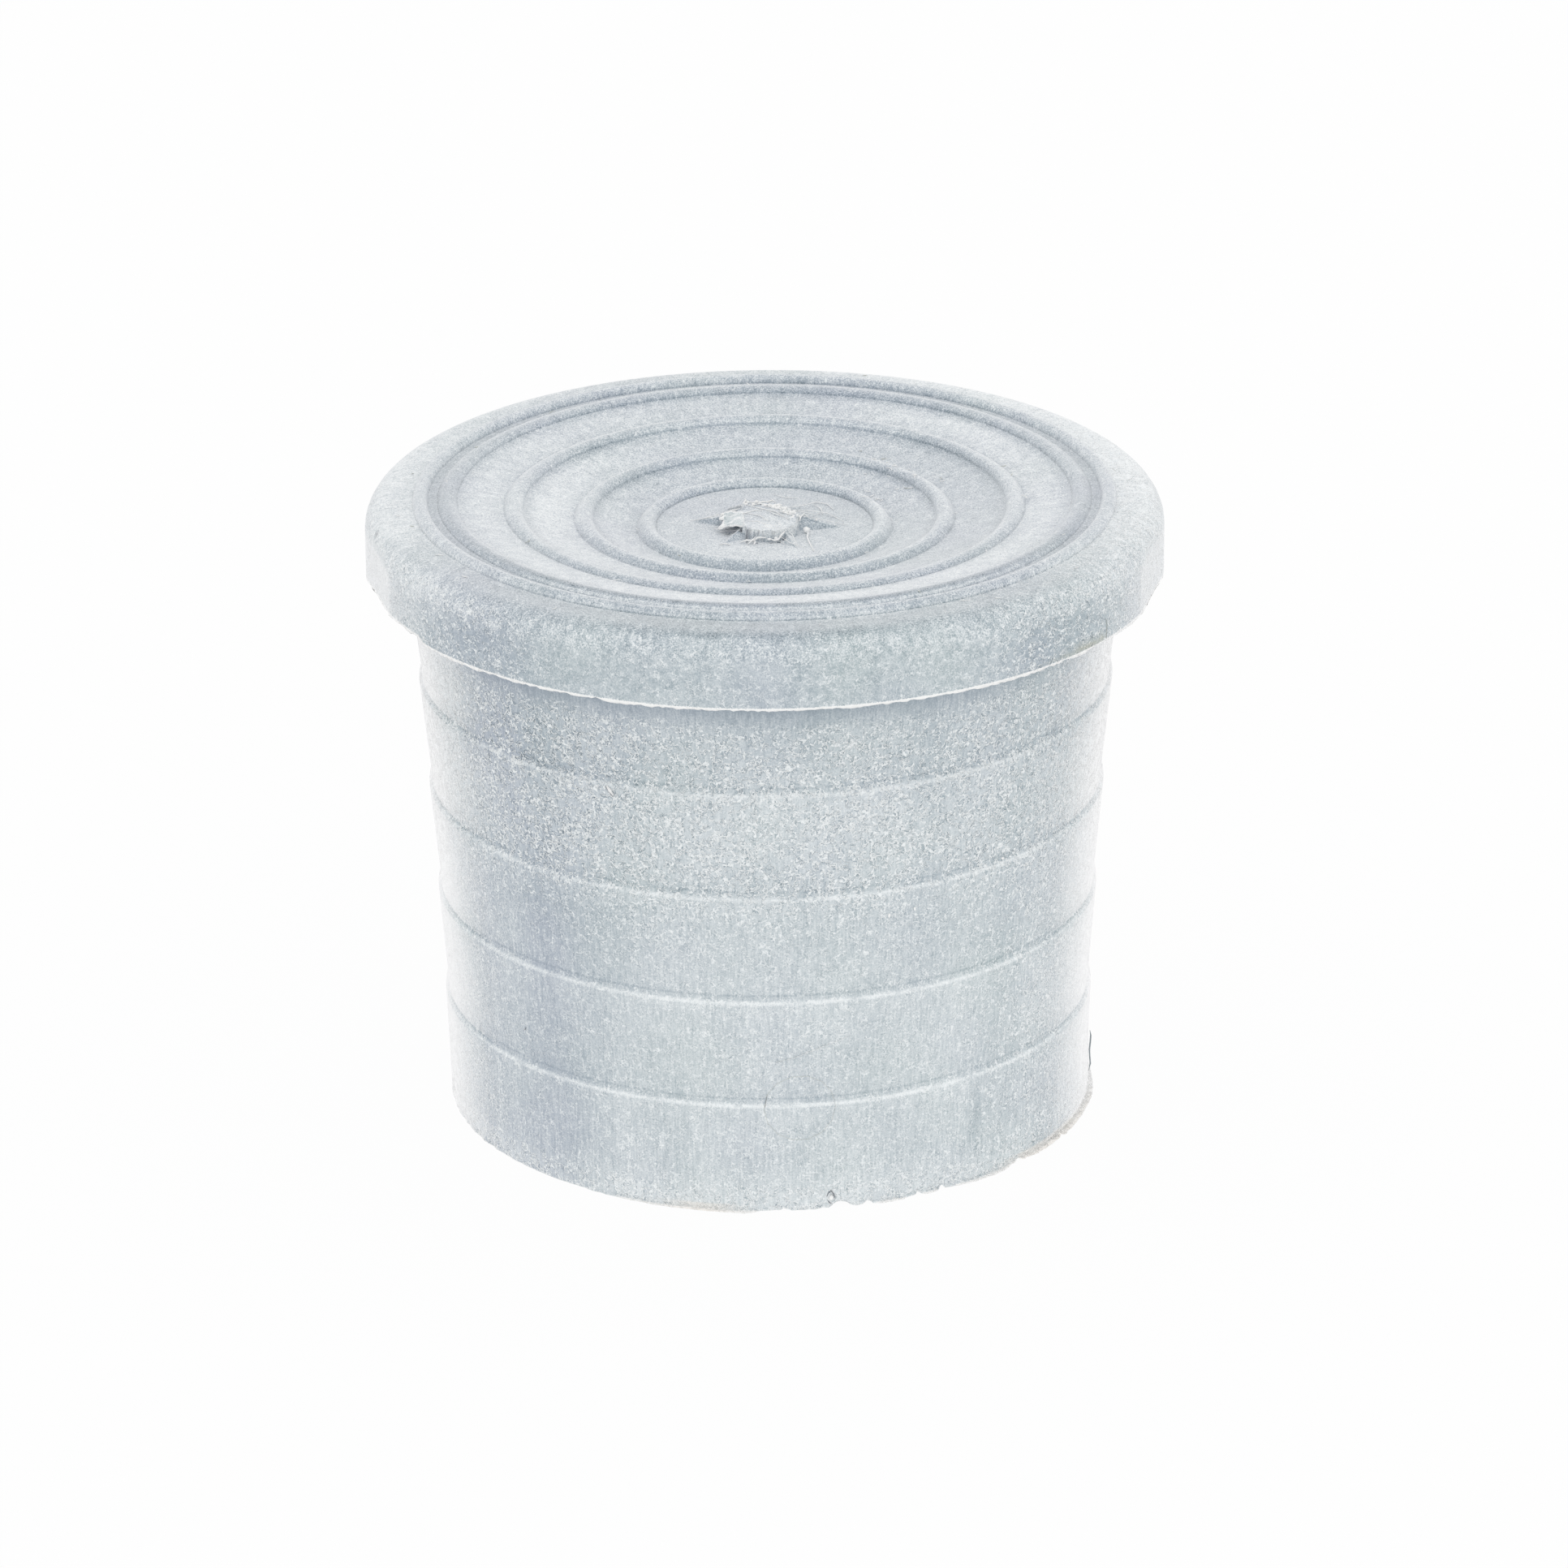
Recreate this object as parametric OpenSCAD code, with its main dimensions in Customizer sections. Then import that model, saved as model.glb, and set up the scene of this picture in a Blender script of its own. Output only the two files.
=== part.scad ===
// Rubber stopper: a solid plug with four fine steps in its side and a wider, dished head
// that carries concentric beads round a ribbed gate stub.
// Millimetres, +Z up. The origin is the centre of the flat lower end, on the stopper's axis.
// -Y is the front; the two rim flats lie left and right of it.

/* [Plug] */
// Length of the plug, from its lower end to the underside of the head
plug_len = 25;          // [15:0.5:40]
// Diameter of the plug under the head
plug_top_d = 31.8;      // [29:0.1:35]
// Diameter of the plug at its lower end
plug_bottom_d = 28.9;   // [20:0.1:31.8]
// How far the side of the plug is hollowed at half its length
side_hollow = 0.18;     // [0:0.02:0.6]
// Number of equal bands that the fine steps divide the plug into
band_count = 5;         // [2:1:10]
// How far each step stands out
step_w = 0.15;          // [0.05:0.01:0.4]
// Height of the slope on top of each step
step_h = 0.25;          // [0.05:0.05:0.6]

/* [Head] */
// Diameter of the head
head_d = 35.5;          // [34:0.1:60]
// Height of the head, from its underside to its shoulder
head_h = 3.25;          // [2:0.05:8]
// Radius of the rounded shoulder
shoulder_r = 1.15;      // [0.3:0.05:2]
// Height of the flash that hangs from the lower edge of the head
flash_h = 0.1;          // [0.04:0.02:0.4]
// Thickness of the flash
flash_t = 0.12;         // [0.06:0.02:0.4]
// How far each rim flat lies inside the head's radius
flat_cut = 0.17;        // [0.02:0.01:0.6]
// Bearing of each rim flat, left and right of the front
flat_bearing = 76;      // [30:1:90]

/* [Dish and beads] */
// Diameter of the dish at its upper edge
dish_d = 27.7;          // [20:0.1:30]
// Diameter of the flat floor of the dish
floor_d = 10.5;         // [8:0.1:18]
// Depth of the floor below the shoulder
dish_depth = 1.4;       // [0.3:0.05:2.5]
// Radius of the circle that the innermost bead follows
bead_1_r = 5.26;        // [4.5:0.02:7]
// Height of the innermost bead
bead_1_h = 0.32;        // [0.1:0.01:0.42]
// Radius of the circle that the second bead follows
bead_2_r = 8.05;        // [6:0.02:10]
// Height of the second bead
bead_2_h = 0.27;        // [0.1:0.01:0.42]
// Radius of the circle that the third bead follows
bead_3_r = 11.16;       // [9:0.02:13]
// Height of the third bead
bead_3_h = 0.25;        // [0.1:0.01:0.42]
// Radius of the circle that the fourth bead follows, at the edge of the dish
bead_4_r = 14.08;       // [12:0.02:14.3]
// Height of the fourth bead
bead_4_h = 0.22;        // [0.1:0.01:0.42]
// Width of these four beads at the foot
bead_w = 0.86;          // [0.66:0.02:1.4]
// Radius of the circle that the rim bead follows
rim_bead_r = 15.28;     // [15:0.02:16.2]
// Height of the rim bead
rim_bead_h = 0.31;      // [0.1:0.01:0.34]
// Width of the rim bead at the foot
rim_bead_w = 0.68;      // [0.64:0.02:1.2]

/* [Gate stub] */
// Diameter of the gate stub
stub_d = 3.3;           // [1.5:0.02:4.4]
// Height of the gate stub over the floor of the dish
stub_h = 0.54;          // [0.2:0.02:1.2]
// Number of ribs round the gate stub
rib_count = 6;          // [3:1:10]
// Bearing of the first rib
rib_bearing = -6;       // [-60:1:60]
// Radius that the ribs reach
rib_reach = 3.3;        // [2.4:0.05:4.6]
// Width of a rib where it meets the stub
rib_w = 1.1;            // [0.3:0.05:1.4]
// Drop of a rib's crest below the top of the stub, where the two meet
rib_drop = 0.1;         // [0.08:0.02:0.16]

/* [Hidden] */
RUBBER = [0.78, 0.81, 0.82];
$fn = 180;

head_r = head_d / 2;
shoulder_z = plug_len + head_h;
floor_z = shoulder_z - dish_depth;
band_h = plug_len / band_count;

// Height of the head's surface, without beads, at a distance from the axis
function top_at(r) =
    r <= floor_d / 2 ? floor_z :
    r >= dish_d / 2 ? shoulder_z :
    floor_z + dish_depth * (r - floor_d / 2) / (dish_d / 2 - floor_d / 2);

// Radius of the plug at the edge of step i, counted down from the head
function edge_r(i) =
    let (t = i / band_count)
    plug_top_d / 2 + (plug_bottom_d - plug_top_d) / 2 * t - 4 * side_hollow * t * (1 - t);

// One band of the plug: it narrows downwards and ends in the slope out to the next step.
// The last band ends in the plain lower edge.
module band_section(i) {
    top_z = plug_len - i * band_h;
    low_z = top_z - band_h;
    foot_w = i < band_count - 1 ? step_w : 0;
    polygon([
        [0, top_z],
        [edge_r(i), top_z],
        [edge_r(i + 1) - foot_w, low_z + step_h],
        [edge_r(i + 1), low_z],
        [0, low_z]
    ]);
}

module plug_section() {
    for (i = [0 : band_count - 1]) band_section(i);
}

// The head before its dish: a disc with a rounded shoulder and flash under its rim
module disc_section() {
    translate([0, plug_len]) {
        square([head_r, head_h - shoulder_r]);
        square([head_r - shoulder_r, head_h]);
        translate([head_r - shoulder_r, head_h - shoulder_r]) circle(shoulder_r);
        translate([head_r - flash_t, -flash_h]) square([flash_t, flash_h + shoulder_r]);
    }
}

// The space above the floor and the sloping side of the dish
module dish_section() {
    polygon([
        [0, floor_z],
        [floor_d / 2, floor_z],
        [dish_d / 2, shoulder_z],
        [dish_d / 2, shoulder_z + head_h],
        [0, shoulder_z + head_h]
    ]);
}

// A bead is the cap of a circle that has the bead's width where it meets the head's surface.
module bead_section(r, w, h) {
    curve = (w * w / 4 + h * h) / (2 * h);
    translate([r, top_at(r) + h - curve]) circle(curve);
}

module stopper_section() {
    plug_section();
    difference() {
        disc_section();
        dish_section();
    }
    bead_section(bead_1_r, bead_w, bead_1_h);
    bead_section(bead_2_r, bead_w, bead_2_h);
    bead_section(bead_3_r, bead_w, bead_3_h);
    bead_section(bead_4_r, bead_w, bead_4_h);
    bead_section(rim_bead_r, rim_bead_w, rim_bead_h);
}

// What is cut away outside a flat on the rim of the head, on the +X side
module rim_flat() {
    translate([head_r - flat_cut, -head_r, plug_len - head_h / 2])
        cube([head_r, head_d, 2 * head_h]);
}

// A rib is a wedge on the +X side: its sharp crest falls from the side of the gate stub to a
// point on the floor. It starts inside the stub and goes on below the floor.
module rib() {
    start_x = stub_d / 2 - 0.2;
    run = rib_reach - start_x;
    share = run / (rib_reach - stub_d / 2);
    crest_h = (stub_h - rib_drop) * share;
    grow = (crest_h + stub_h) / crest_h;
    half_w = rib_w / 2 * share * grow;
    low_z = floor_z - stub_h;
    polyhedron(
        points = [
            [start_x, 0, floor_z + crest_h],
            [start_x, half_w, low_z],
            [start_x, -half_w, low_z],
            [start_x + run * grow, 0, low_z]
        ],
        faces = [[0, 2, 1], [1, 2, 3], [0, 1, 3], [0, 3, 2]]
    );
}

module gate_stub() {
    translate([0, 0, floor_z - stub_h]) cylinder(d = stub_d, h = 2 * stub_h);
    for (i = [0 : rib_count - 1])
        rotate([0, 0, rib_bearing + i * 360 / rib_count]) rib();
}

module stopper() {
    color(RUBBER) {
        difference() {
            rotate_extrude() stopper_section();
            for (side = [-1, 1])
                rotate([0, 0, -90 + side * flat_bearing]) rim_flat();
        }
        gate_stub();
    }
}

stopper();
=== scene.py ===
"""Rubber stopper: its visible moulding and wear, its dusty rubber, and a white stage."""

import math
import random

import bmesh
import bpy
from mathutils import Euler, Matrix, Vector, noise


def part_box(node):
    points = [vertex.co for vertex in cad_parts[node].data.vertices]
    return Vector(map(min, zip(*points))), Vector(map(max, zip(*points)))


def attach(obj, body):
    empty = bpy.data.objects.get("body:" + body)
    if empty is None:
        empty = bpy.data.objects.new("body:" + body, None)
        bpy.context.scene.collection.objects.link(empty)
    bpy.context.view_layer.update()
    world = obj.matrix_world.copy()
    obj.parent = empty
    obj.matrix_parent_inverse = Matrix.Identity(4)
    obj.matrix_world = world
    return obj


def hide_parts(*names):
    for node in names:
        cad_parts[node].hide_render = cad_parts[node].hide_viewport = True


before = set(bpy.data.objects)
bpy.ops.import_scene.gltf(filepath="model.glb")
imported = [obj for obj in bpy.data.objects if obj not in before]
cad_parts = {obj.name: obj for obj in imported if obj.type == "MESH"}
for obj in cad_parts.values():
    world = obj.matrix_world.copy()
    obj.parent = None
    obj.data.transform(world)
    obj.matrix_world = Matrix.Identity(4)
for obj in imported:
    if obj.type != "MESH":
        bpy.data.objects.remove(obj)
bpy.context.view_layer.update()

MM = 0.001
LOW, HIGH = (Vector(corner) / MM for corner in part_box("stopper"))

# ---------------------------------------------------------------- sizes, in millimetres
# The origin is the middle of the lower end, +Z points up and -Y is the front.
# Bearings are in degrees from +X, so the front is -90.
FRONT = -90
HEIGHT = HIGH.z - LOW.z
HEAD_R = (HIGH.y - LOW.y) / 2
RIM_BEAD_H = 0.31
SHOULDER_Z = HEIGHT - RIM_BEAD_H
HEAD_H = 3.25
PLUG_LEN = SHOULDER_Z - HEAD_H
SHOULDER_R = 1.15
FLASH_H = 0.1
FLASH_T = 0.12
FLAT_CUT = 0.17
FLAT_BEARINGS = (-166, -14)

PLUG_TOP_R = 15.9
PLUG_BOTTOM_R = 14.45
SIDE_HOLLOW = 0.18
BANDS = 5
BAND_H = PLUG_LEN / BANDS
STEP_W = 0.15
STEP_H = 0.25
EDGE_H = 0.4

DISH_R = 13.85
FLOOR_R = 5.25
DISH_DEPTH = 1.4
FLOOR_Z = SHOULDER_Z - DISH_DEPTH
BEAD_W = 0.86
# circle radius, width at the foot and height of each bead, from the middle outwards
BEADS = ((5.26, BEAD_W, 0.32), (8.05, BEAD_W, 0.27), (11.16, BEAD_W, 0.25),
         (14.08, BEAD_W, 0.22), (15.28, 0.68, RIM_BEAD_H))
# how far the narrow line of painted shade at the foot of a bead reaches
FOOT = 0.05
# where the plain rim outside the beads begins, and where the wall of the head begins
RIM_R = 15.6
WALL_R = HEAD_R - 0.3

GATE_R = 4.1
GATE_RING = 0.064
# bearing, reach, height at the stub and half width at the stub of each rib
RIB_START = 1.45
RIBS = ((171, 3.3, 0.44, 0.56), (-128, 2.98, 0.42, 0.6), (-63.5, 3.42, 0.5, 0.64),
        (-5.5, 3.56, 0.52, 0.66), (56.8, 3.35, 0.34, 0.4), (128, 2.75, 0.52, 0.62))
# outline of the torn top of the stub: x, y and height over the floor
STUB_TOP = ((-1.15, 0.12, 0.56), (-1.02, -0.5, 0.5), (-0.98, -1.3, 0.5), (-0.78, -1.98, 0.53),
            (-0.1, -2.14, 0.48), (0.55, -2.16, 0.46), (1.0, -1.92, 0.5), (1.42, -1.3, 0.5),
            (1.55, -0.55, 0.6), (1.38, 0.0, 0.56), (1.12, 0.6, 0.56), (0.45, 1.2, 0.6),
            (-0.5, 1.15, 0.58), (-0.98, 1.28, 0.62), (-1.05, 0.5, 0.54))
# x, y and radius of the crevices in and round the stub, which are sunk and painted with shade
CREVICES = ((-0.79, -2.0, 0.1), (-0.79, -2.16, 0.09), (0.86, -2.12, 0.12), (0.62, -2.24, 0.1),
            (0.25, -2.3, 0.09), (-0.35, -2.3, 0.09), (-1.3, -1.28, 0.13), (-1.6, -1.1, 0.1),
            (-1.05, -1.42, 0.11), (-1.75, -0.4, 0.1))

# The side is turned in this many steps, closer together at the front; the gate in half as many.
TURN_STEPS = 480
FRONT_SHARE = 0.35


# ---------------------------------------------------------------- half section
def top_at(r):
    """Height of the head's surface, without beads, at a distance from the axis."""
    if r <= FLOOR_R:
        return FLOOR_Z
    if r >= DISH_R:
        return SHOULDER_Z
    return FLOOR_Z + DISH_DEPTH * (r - FLOOR_R) / (DISH_R - FLOOR_R)


def dip(r):
    """How far the dish lies lower just outside its two inner beads than an even slope."""
    inner = 0.16 * ramp(r, BEADS[0][0], 5.75) * (1 - ramp(r, 6.2, 7.5))
    return inner + 0.1 * ramp(r, BEADS[1][0], 8.55) * (1 - ramp(r, 9.0, 10.6))


def bead_points(r, width, height):
    """The cap of a circle, from a bead's inner foot to its outer foot."""
    curve = (width * width / 4 + height * height) / (2 * height)
    centre_z = top_at(r) + height - curve
    points = []
    for share in (-1, -0.93, -0.75, -0.5, -0.25, 0, 0.25, 0.5, 0.75, 0.93, 1):
        x = share * width / 2
        z = centre_z + math.sqrt(curve * curve - x * x)
        points.append((r + x, max(z, top_at(r + x))))
    return points


def between(start, end, count):
    """Evenly spaced points from start to end, without the two ends."""
    return [tuple(a + (b - a) * i / (count + 1) for a, b in zip(start, end))
            for i in range(1, count + 1)]


def on_head(r):
    return r, top_at(r)


def gate_points():
    rings = round(GATE_R / GATE_RING)
    return [on_head(GATE_R * i / rings) for i in range(rings)]


def head_points():
    """From the gate's edge over the beads and the shoulder."""
    start = GATE_R
    points = []
    for r, width, height in BEADS:
        inner, outer = r - width / 2, r + width / 2
        count = 3 if inner - start > 0.8 else 1
        points.append(on_head(start))
        if start > GATE_R and count == 3:
            points.append(on_head(start + 0.2))
        points += between(on_head(start), on_head(inner - FOOT), count)
        points += [on_head(inner - FOOT)] + bead_points(r, width, height)
        start = outer + FOOT
    points += [on_head(start)] + between(on_head(start), on_head(HEAD_R - SHOULDER_R), 2)
    for i in range(8):
        a = math.radians(90 - 90 * i / 7)
        points.append((HEAD_R - SHOULDER_R + SHOULDER_R * math.cos(a),
                       SHOULDER_Z - SHOULDER_R + SHOULDER_R * math.sin(a)))
    return points


def edge_r(i):
    """Radius of the plug at the edge of step i, counted down from the head."""
    t = i / BANDS
    return PLUG_TOP_R + (PLUG_BOTTOM_R - PLUG_TOP_R) * t - 4 * SIDE_HOLLOW * t * (1 - t)


def side_r(z):
    """Radius of the plug's side at a height."""
    i = min(int((PLUG_LEN - z) / BAND_H), BANDS - 1)
    low_z, top_z = PLUG_LEN - (i + 1) * BAND_H, PLUG_LEN - i * BAND_H
    foot_r = edge_r(i + 1) - (STEP_W if i < BANDS - 1 else 0)
    foot_z = low_z + STEP_H
    if z < foot_z:
        return edge_r(i + 1) - (edge_r(i + 1) - foot_r) * (z - low_z) / STEP_H
    return edge_r(i) + (foot_r - edge_r(i)) * (top_z - z) / (top_z - foot_z)


def wall_points():
    """The wall of the head and the flash under it."""
    wall = [(HEAD_R, PLUG_LEN + up) for up in (1.6, 1.1, 0.65, 0.35, 0.2, 0.1, 0.03, -0.04)]
    flash = [(HEAD_R - 0.02, PLUG_LEN - FLASH_H), (HEAD_R - FLASH_T + 0.02, PLUG_LEN - FLASH_H),
             (HEAD_R - FLASH_T, PLUG_LEN - FLASH_H / 2), (HEAD_R - FLASH_T, PLUG_LEN)]
    return wall + flash


def rounded_corner(before, at, after, soft):
    """Three points that stand for one softened corner."""
    before, at, after = Vector(before), Vector(at), Vector(after)
    a = at + (before - at).normalized() * min(soft, (at - before).length / 3)
    b = at + (after - at).normalized() * min(soft, (after - at).length / 3)
    return [tuple(a), tuple((a + b) / 4 + at / 2), tuple(b)]


def plug_points():
    """From under the head down the side to the lower end's edge."""
    under = (HEAD_R - FLASH_T, PLUG_LEN)
    corners = [under, (edge_r(0), PLUG_LEN)]
    fills = [(24.6, 24.2, 23.7, 23.1, 22.3, 21.2)]
    for i in range(1, BANDS):
        low_z = PLUG_LEN - i * BAND_H
        corners += [(edge_r(i) - STEP_W, low_z + STEP_H), (edge_r(i), low_z)]
        fills += [(), (low_z - 1.2, low_z - 2.5, low_z - 3.7)]
    fills[-1] = (4.1, 3.2, 2.5, 1.9, 1.4, 1.0, 0.7, 0.5, 0.36, 0.25, 0.17, 0.1, 0.04)
    corners.append((edge_r(BANDS), 0))
    points = between(under, corners[1], 1)
    for number in range(1, len(corners) - 1):
        points += rounded_corner(corners[number - 1], corners[number], corners[number + 1], 0.05)
        points += [(side_r(z), z) for z in fills[number - 1]]
    return points + [corners[-1]]


def end_points():
    """The flat lower end, to the axis."""
    edge = (edge_r(BANDS), 0)
    return [(edge[0] - 0.15, 0), (edge[0] - 0.5, 0)] + between(edge, (0, 0), 3)[1:] + [(0, 0)]


# ---------------------------------------------------------------- marks of moulding and use
# bearing and reach of the thin flash that spreads on the table from the lower edge
FLARE = ((-128, 0), (-112, 0.2), (-100, 0.3), (-93, 0.34), (-91.5, 0.06), (-85, 0.1),
         (-80, 0.1), (-78.8, -0.1), (-75.5, -0.06), (-74.6, 0.1), (-72.5, 0), (-70, 0.3),
         (-67, 0.26), (-64, 0.05), (-62, 0.16), (-60, 0.26), (-58, 0.02), (-54, 0.26),
         (-51, 0.36), (-45, 0.36), (-42, 0.15), (-36, 0.32), (-30, 0.34), (-24, 0.4),
         (-17, 0.36), (-8, 0.38), (2, 0.24), (12, 0.08), (24, 0))
# its thickness, the share of its reach that the side above it swells by, and how high that goes
FLARE_T = 0.1
FLARE_BODY = 0.3
FLARE_TOP = 2.7
# bearing, half width in degrees and depth of the chips in the lower edge
CHIPS = ((-77.4, 2.2, 0.16), (-72.6, 0.9, 0.12), (-63, 0.8, 0.14), (-58.3, 0.8, 0.16),
         (-87.5, 0.7, 0.06), (-40.5, 1.2, 0.14), (-27.5, 0.8, 0.1))
# bearing, height, half width, half height and depth of small hollows in the head
HOLLOWS = ((-168.2, 27.87, 0.16, 0.1, 0.1), (-48.4, 27.5, 0.07, 0.05, 0.04))
# how far above the underside of the head its flash is pulled up where it runs higher
FLASH_PULL = 0.3


def along(table, bearing):
    """Value at a bearing, on straight lines between the rows of a table."""
    if bearing <= table[0][0] or bearing >= table[-1][0]:
        return 0
    for (a, low), (b, high) in zip(table, table[1:]):
        if bearing <= b:
            return low + (high - low) * (bearing - a) / (b - a)


def ramp(value, start, end):
    """Smooth step from 0 at start to 1 at end."""
    t = min(max((value - start) / (end - start), 0), 1)
    return t * t * (3 - 2 * t)


def hump(value, centre, half_width):
    """1 at the centre, falling softly to 0 at half a width to either side."""
    return 1 - ramp(abs(value - centre), 0, half_width)


def plateau(value, start, end, soft):
    """1 between start and end, falling softly to 0 outside."""
    return ramp(value, start - soft, start + soft) * (1 - ramp(value, end - soft, end + soft))


def rough(place, scale, seed=0):
    """Even noise about zero; scale is in waves a millimetre."""
    return noise.noise(Vector(place) * scale + Vector((seed * 7.3, seed * 3.1, seed * 5.7)))


def stub_outline(x, y):
    """Whether a place lies on top of the gate stub, how far its edge is and how high."""
    inside = False
    nearest = 1e9
    height = weight = 0
    corners = [Vector(c) for c in STUB_TOP]
    here = Vector((x, y))
    for a, b in zip(corners, corners[1:] + corners[:1]):
        if (a.y > y) != (b.y > y) and x < (b.x - a.x) * (y - a.y) / (b.y - a.y) + a.x:
            inside = not inside
        side = (b - a).xy
        t = min(max((here - a.xy).dot(side) / side.length_squared, 0), 1)
        distance = (a.xy + side * t - here).length
        nearest = min(nearest, distance)
        share = 1 / (distance + 0.05) ** 2
        weight += share
        height += share * (a.z + (b.z - a.z) * t)
    return inside, nearest, height / weight


def crevice_at(x, y):
    return max(1 - ramp(math.hypot(x - cx, y - cy), radius * 0.35, radius)
               for cx, cy, radius in CREVICES)


def gate_height(x, y):
    """Height of the torn gate stub and its ribs over the floor of the dish."""
    jag = rough((x, y, 0), 7, 21) if y < -1.5 else 0
    inside, distance, top = stub_outline(x + 0.08 * rough((x, y, 0), 4, 1) + 0.05 * jag,
                                         y + 0.08 * rough((x, y, 0), 4, 2) + 0.06 * jag)
    height = 0
    if inside:
        flow = rough((x * 0.5 + y * 1.7, x * 1.1 - y * 0.2, 0), 2.3, 3)
        height = top + 0.016 * flow + 0.05 * rough((x, y, 0), 5, 4) * ramp(0.4 - distance, 0, 0.35)
        height += 0.05 * ramp(0.14 - distance, 0, 0.14)
    for bearing, reach, crest, half in RIBS:
        a = math.radians(bearing)
        out = x * math.cos(a) + y * math.sin(a)
        aside = abs(y * math.cos(a) - x * math.sin(a))
        if out > 0.9 and out < reach:
            share = min(1, (reach - out) / (reach - RIB_START))
            edge = 0.05 * (1 - ramp(aside, 0, 0.07)) * share
            height = max(height, crest * share * (1 - aside / (half * share + 0.02)) + edge)
    return height - 0.12 * crevice_at(x, y)


def polar(co):
    """Distance of a place from the axis, and its bearing."""
    return math.hypot(co.x, co.y), math.degrees(math.atan2(co.y, co.x))


def push_out(co, r, distance):
    """Moves a place straight away from the axis."""
    co.x += co.x * distance / r
    co.y += co.y * distance / r


def mark_dip(r, bearing, co):
    if co.z > PLUG_LEN:
        co.z -= dip(r)


def mark_gate(r, bearing, co):
    if r < GATE_R - 0.01 and co.z > FLOOR_Z - 0.01:
        co.z += gate_height(co.x, co.y)


def mark_flats(r, bearing, co):
    for middle in FLAT_BEARINGS:
        a = math.radians(middle)
        over = co.x * math.cos(a) + co.y * math.sin(a) - (HEAD_R - FLAT_CUT)
        if over > 0 and co.z > PLUG_LEN - 2 * FLASH_H:
            co.x -= over * math.cos(a)
            co.y -= over * math.sin(a)


def flash_rise(bearing):
    """The flash runs a little higher at the left of the head, and drops in one short jog."""
    return 0.24 * ramp(bearing, -176, -166) * (1 - ramp(bearing, -148.5, -146.5))


def mark_flash(r, bearing, co):
    """Makes the flash under the head ragged."""
    if PLUG_LEN - 2 * FLASH_H < co.z < PLUG_LEN + FLASH_PULL and r > WALL_R:
        place = (co.x, co.y, 0)
        rise = flash_rise(bearing)
        co.z += rise * min((PLUG_LEN + FLASH_PULL - co.z) / FLASH_PULL, 1)
        if co.z < PLUG_LEN - 0.02 + rise:
            hang = 0.5 + 0.9 * rough(place, 1.3, 5) + 0.9 * rough(place, 4.2, 6)
            co.z = PLUG_LEN + rise - FLASH_H * min(max(hang, -0.5), 1)
            push_out(co, r, -0.05 * max(0, rough(place, 2.4, 7)))


def mark_lower_edge(r, bearing, co):
    """Spreads thin flash from the lower edge and chips it."""
    if co.z > FLARE_TOP or r < PLUG_BOTTOM_R - 0.8:
        return
    place = (co.x, co.y, 0)
    thin = 1 - ramp(co.z, FLARE_T * 0.4, FLARE_T)
    swell = FLARE_BODY * ramp(FLARE_TOP - co.z, 0, FLARE_TOP - FLARE_T)
    end_share = ramp(EDGE_H - co.z, 0, EDGE_H)
    torn = ramp(bearing, -96, -88) * (1 - ramp(bearing, -34, -24))
    spread = along(FLARE, bearing) * (thin * (1 - FLARE_BODY) + swell)
    spread += (0.05 * rough(place, 4.5, 8) + 0.04 * rough(place, 1.4, 9)) * end_share
    lift = sum(depth * hump(bearing, middle, half) for middle, half, depth in CHIPS)
    spread -= 0.6 * lift * end_share
    co.z += (lift + (0.1 * max(0, rough(place, 5.5, 22)) + 0.02) * torn) * end_share
    push_out(co, r, spread * (0.5 if r < PLUG_BOTTOM_R - 0.1 else 1))


def near_hollows(r, bearing, z):
    """How many times its own size each small hollow is away from a place, and its depth."""
    if r > HEAD_R - 1.5 and z > PLUG_LEN:
        for middle, height, half_w, half_h, depth in HOLLOWS:
            aside = math.radians(bearing - middle) * r
            yield math.hypot(aside / half_w, (z - height) / half_h), depth


def mark_hollows(r, bearing, co):
    for apart, depth in near_hollows(r, bearing, co.z):
        push_out(co, r, -depth * (1 - ramp(apart, 0.4, 1.6)))


def mark_unevenness(r, bearing, co):
    """The soft waviness of a rubber side; the head keeps its outline."""
    if 0.5 < co.z < PLUG_LEN - 0.5 and r > 12:
        push_out(co, r, 0.02 * rough((co.x, co.y, co.z * 0.4), 0.35, 10))


MARKS = (mark_dip, mark_gate, mark_flats, mark_flash, mark_lower_edge, mark_hollows,
         mark_unevenness)


# ---------------------------------------------------------------- what the finish reads
# display levels, bearing and half width of patches of painted light and shade on the plug, the heights
# between which each comes in from below and those between which it ends
OPEN_BELOW, OPEN_ABOVE = (-2, -1), (PLUG_LEN + 1, PLUG_LEN + 2)
PLUG_LIGHT_AND_SHADE = ((-13, -134, 20, OPEN_BELOW, OPEN_ABOVE), (-7, -43, 14, OPEN_BELOW, OPEN_ABOVE),
                (-5, -128, 30, (14.5, 17.5), (21.5, 24.5)), (-5, -126, 28, OPEN_BELOW, (14, 16)),
                (-12, -51.3, 2.6, (0.9, 2), (3.4, 4.9)), (-10, -28, 3.5, (1, 2.2), (3.4, 4.7)),
                (8, -145.5, 1.2, OPEN_BELOW, (15, 17)), (-7, -66, 9, OPEN_BELOW, (3.5, 5)),
                (-16, -31, 13, OPEN_BELOW, (0.2, 1.4)))
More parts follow.
